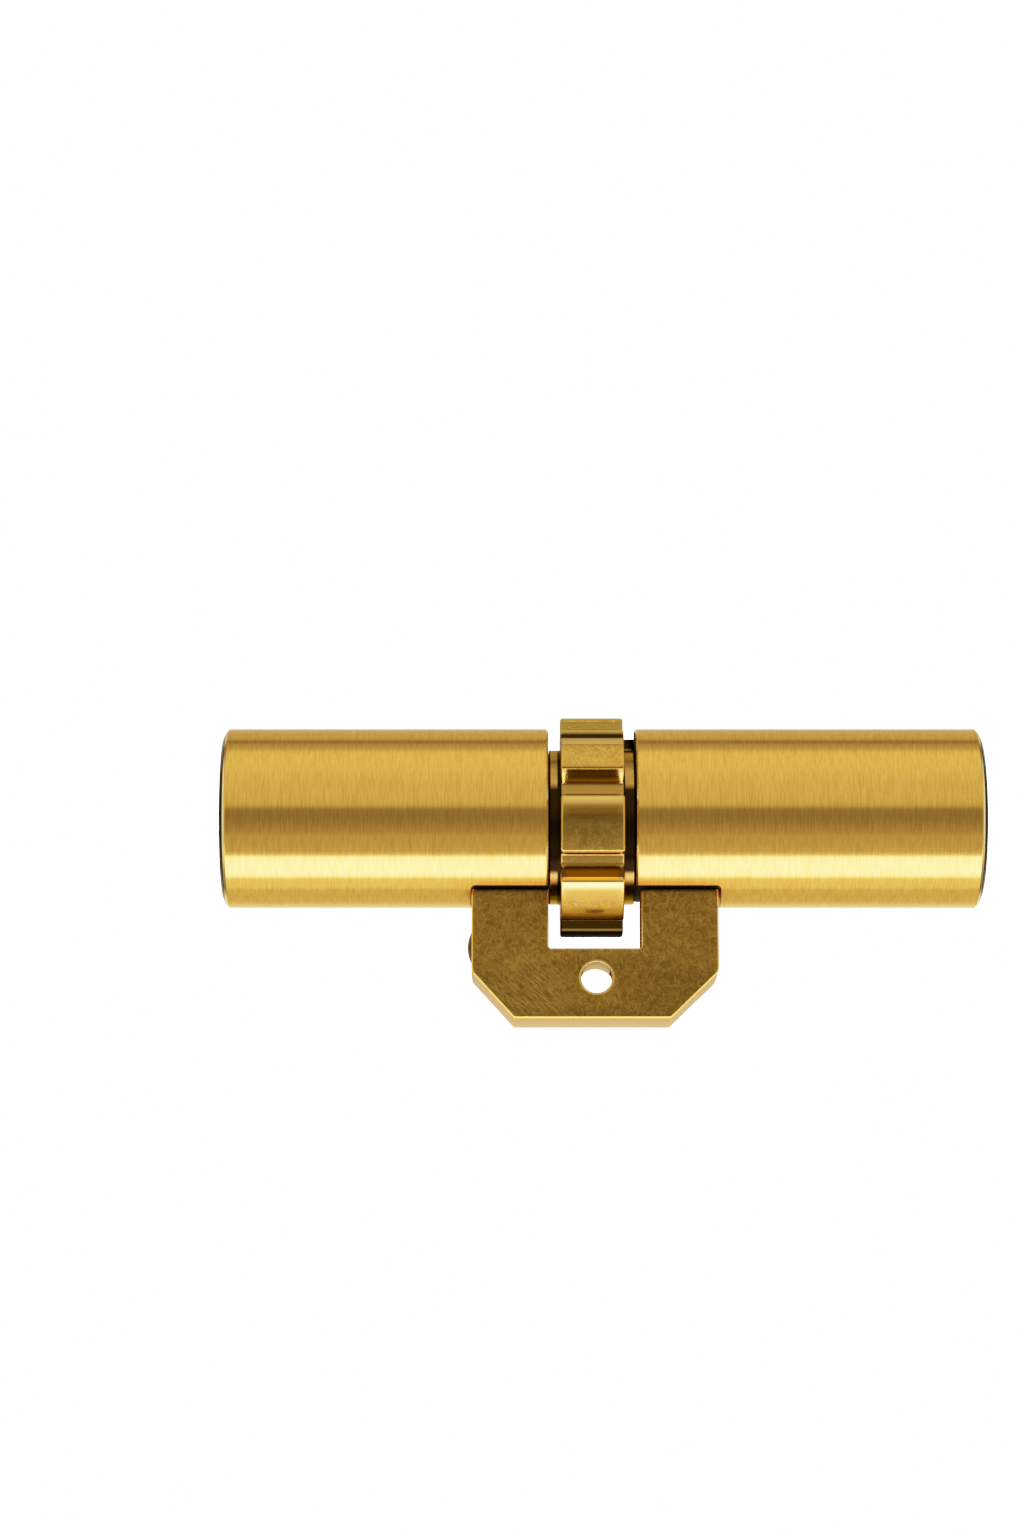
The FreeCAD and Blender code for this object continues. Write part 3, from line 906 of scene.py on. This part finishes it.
def tongue_mesh(middle_x):
    """Flat tongue that stands up from an arm into the barrel's slot."""
    left = middle_x - tongue_length / 2
    right = middle_x + tongue_length / 2
    base = arm_top_z - tongue_overlap
    outline = [Vector(corner) for corner in
               ((left, base), (right, base), (right, tongue_top_z), (left, tongue_top_z))]
    return plate(outline, tongue_thickness, tongue_edge, facing_front)


def bridge_edges(tree):
    """The rounded edges round the front and back faces, burnished bright."""
    forward = reckon(tree, "ABSOLUTE", facing(tree, (0.0, 1.0, 0.0)))
    return between(tree, forward, *rounded_edge_facing)


def diagonal_streaks(tree):
    """Longer slanting streaks low on the left of the front and back faces."""
    laid = add(tree, "ShaderNodeMapping", vector_type="TEXTURE", Vector=place(tree),
               Rotation=(0.0, math.radians(streak_angle), 0.0), Scale=streak_stretch)
    noise = add(tree, "ShaderNodeTexNoise", Vector=laid.outputs[0], Scale=3200.0, Detail=3.0,
                Distortion=0.3)
    lines = between(tree, noise.outputs["Fac"], *streak_levels)
    patch = times(tree, along(tree, "X", *streaks_x), along(tree, "Z", *streaks_z))
    return times(tree, lines, patch)


def painted_light_undersides(tree):
    """The underside and the two slanting cuts, with painted light where they face the bright
    panels below.
    """
    return between(tree, facing(tree, (0.0, 0.0, -1.0)), *underside_facing)


def hole_rim(tree):
    """A ring rubbed bright by the screw's head, round the hole's mouth."""
    return times(tree, between(tree, from_line(tree, "Y", 0.0), *hole_rim_at),
                 between(tree, facing(tree, (0.0, -1.0, 0.0)), *hole_rim_facing))


def arm_sides(tree):
    """The arms' inner sides, left dull from the saw."""
    sideways = reckon(tree, "ABSOLUTE", split(tree, place(tree, "Normal"))["X"])
    return times(tree, between(tree, sideways, *arm_side_facing),
                 between(tree, from_middle(tree, bridge_middle_x), *arm_side_at))


screw_hole = [(circle(radius), level) for radius, level in hole_section()]
bridge_mesh = joined([plate(bridge_outline(), bridge_thickness, bridge_edge, facing_front,
                            screw_hole)]
                     + [tongue_mesh(middle_x) for middle_x in tongue_middles])
bridge_brass = tumbled_metal(
    "tumbled brass, bridge", roughness=0.38, dull=arm_sides,
    zones=((diagonal_streaks, (0.50, 0.28, 0.045, 1.0)), (painted_light_undersides, (0.60, 0.35, 0.090, 1.0)),
           (bridge_edges, (1.0, 0.57, 0.11, 1.0)), (hole_rim, (0.70, 0.42, 0.100, 1.0))),
    **bracket_gold)
rivet_brass = tumbled_metal("tumbled brass, rivet", roughness=0.30, zones=(), **bracket_gold)
show("notched_bridge", bridge_mesh, bridge_brass, "housing", "bridge_brass", "bridge")
finish_node("bridge_dowels", pin_steel)
finish_node("side_rivet", rivet_brass)


# Room
# A plain pale floor well below the part, and a studio of soft white panels round it: a long
# bright one below in front, a broad one above in front, and dark gaps between them.

floor_drop = 620 * mm
floor_radius = 1.05
floor_sides = 96
floor_colour = (0.8, 0.8, 0.79, 1.0)
floor_roughness = 0.9
panel_strength = 4.0
# Height in degrees round the barrels' line, 0 to the front and 90 straight up, and brightness
panels = ((-180, 0.34), (-160, 0.32), (-146, 0.19), (-60, 0.16), (-34, 0.140), (-28, 0.128),
          (-22, 0.114), (-16, 0.092), (-8, 0.082), (2, 0.080), (5, 0.215), (18, 0.235),
          (34, 0.24), (60, 0.29), (84, 0.29), (90, 0.155), (98, 0.155), (103, 0.080),
          (108, 0.080), (113, 0.185), (132, 0.185), (180, 0.21))
# How far to the side the tall side panels start and are full, and how far back the dark
# cloths behind them do
side_panels_at = {"From_Min": 0.45, "From_Max": 0.60}
side_cloths_at = {"From_Min": 0.25, "From_Max": 0.45}
side_panel_brightness = 0.24
side_cloth_brightness = 0.03
# Panels below the part: from and to in degrees, and brightness
low_panels = ((-90, -60, 3.6), (-112, -90, 0.7), (-150, -112, 0.25))
low_panel_depth = 300 * mm
low_panel_length = 1.4
# Panels brighter than this are bluish, with the strength that the tint takes away added
bluish_above = 1
low_panel_colour = (0.6, 0.6, 1.0)
# The photograph's tones: straight up to the middle greys, then a soft shoulder to white
shoulder = ((0.0, 0.0), (0.07, 0.07), (0.39, 0.39), (0.55, 0.52), (0.74, 0.645), (1.05, 0.785),
            (1.65, 0.895), (2.2, 0.95), (3.2, 0.985), (4.0, 1.0))


def grey(brightness):
    return (brightness, brightness, brightness, 1.0)


floor_turns = [2 * math.pi * step / floor_sides for step in range(floor_sides)]
floor_edge = [(floor_radius * math.cos(turn), floor_radius * math.sin(turn), -floor_drop)
              for turn in floor_turns]
floor_mesh = bpy.data.meshes.new("floor")
floor_mesh.from_pydata(floor_edge, [], [range(len(floor_edge))])
floor = bpy.data.objects.new("floor", floor_mesh)
bpy.context.scene.collection.objects.link(floor)
pale = bpy.data.materials.new("pale floor")
pale.use_nodes = True
pale_shader = pale.node_tree.nodes["Principled BSDF"]
pale_shader.inputs["Base Color"].default_value = floor_colour
pale_shader.inputs["Roughness"].default_value = floor_roughness
floor_mesh.materials.append(pale)

world = bpy.data.worlds.new("studio")
bpy.context.scene.world = world
world.use_nodes = True
room = world.node_tree
room.nodes.clear()
direction = split(room, place(room, "Generated"))
towards = reckon(room, "MULTIPLY", direction["Y"], -1.0)
height = reckon(room, "ARCTAN2", direction["Z"], towards)
share = add(room, "ShaderNodeMapRange", Value=height, From_Min=-math.pi, From_Max=math.pi)
ramp = add(room, "ShaderNodeValToRGB")
feed(room, ramp.inputs[0], share.outputs["Result"])
stops = ramp.color_ramp.elements
while len(stops) > 1:
    stops.remove(stops[0])
for index, (degrees, brightness) in enumerate(panels):
    position = (degrees + 180) / 360
    stop = stops[0] if index == 0 else stops.new(position)
    stop.position = position
    stop.color = grey(brightness)
aside = reckon(room, "ABSOLUTE", direction["X"])
at_side = add(room, "ShaderNodeMapRange", Value=aside, **side_panels_at).outputs["Result"]
behind = add(room, "ShaderNodeMapRange", Value=direction["Y"], **side_cloths_at)
with_sides = mixed(room, at_side, ramp.outputs[0], grey(side_panel_brightness))
with_cloths = mixed(room, times(room, at_side, behind.outputs["Result"]), with_sides,
                    grey(side_cloth_brightness))
lit = add(room, "ShaderNodeBackground", Strength=panel_strength, Color=with_cloths)
seen = add(room, "ShaderNodeBackground", Strength=panel_strength, Color=grey(1.0))
ray = add(room, "ShaderNodeLightPath")
choice = add(room, "ShaderNodeMixShader")
for socket, source in zip(choice.inputs, (ray.outputs["Is Camera Ray"], lit.outputs[0],
                                          seen.outputs[0])):
    feed(room, socket, source)
add(room, "ShaderNodeOutputWorld", Surface=choice.outputs[0])

for start, end, brightness in low_panels:
    reach = [-low_panel_depth / math.tan(math.radians(-angle)) for angle in (start, end)]
    light = bpy.data.lights.new("low panel", "AREA")
    light.shape = "RECTANGLE"
    light.size = low_panel_length
    light.size_y = abs(reach[1] - reach[0])
    light.energy = brightness * math.pi * light.size * light.size_y
    if brightness > bluish_above:
        light.color = low_panel_colour
        light.energy /= low_panel_colour[0]
    panel = bpy.data.objects.new("low panel", light)
    panel.location = (0.0, sum(reach) / 2, barrel_axis_z - low_panel_depth)
    panel.rotation_euler = (math.pi, 0.0, 0.0)
    bpy.context.scene.collection.objects.link(panel)

tones = bpy.context.scene.view_settings
tones.view_transform = "Standard"
tones.use_curve_mapping = True
brightest = shoulder[-1][0]
tones.curve_mapping.white_level = (brightest, brightest, brightest)
combined = tones.curve_mapping.curves[3]
while len(combined.points) > 2:
    combined.points.remove(combined.points[1])
combined.points[0].location = (0.0, 0.0)
combined.points[1].location = (1.0, 1.0)
for bright, shown in shoulder[1:-1]:
    combined.points.new(bright / brightest, shown)
tones.curve_mapping.update()


# Camera
# The photograph was taken from in front and a little below the barrels' line, from about
# 0.6 m, with a long lens.

photo_height_px = 1536
lens_px = 4330
sensor_width_mm = 36.0
camera_rise = 12.0
camera_place = Vector((-12.1 * mm, -615.8 * mm, -99.3 * mm))
nearest_seen = 0.01
farthest_seen = 20.0

camera_data = bpy.data.cameras.new("camera")
camera_data.sensor_width = sensor_width_mm
camera_data.lens = sensor_width_mm * lens_px / photo_height_px
camera_data.clip_start = nearest_seen
camera_data.clip_end = farthest_seen
camera = bpy.data.objects.new("camera", camera_data)
camera.location = camera_place
camera.rotation_euler = (math.radians(90 + camera_rise), 0.0, 0.0)
bpy.context.scene.collection.objects.link(camera)
bpy.context.scene.camera = camera
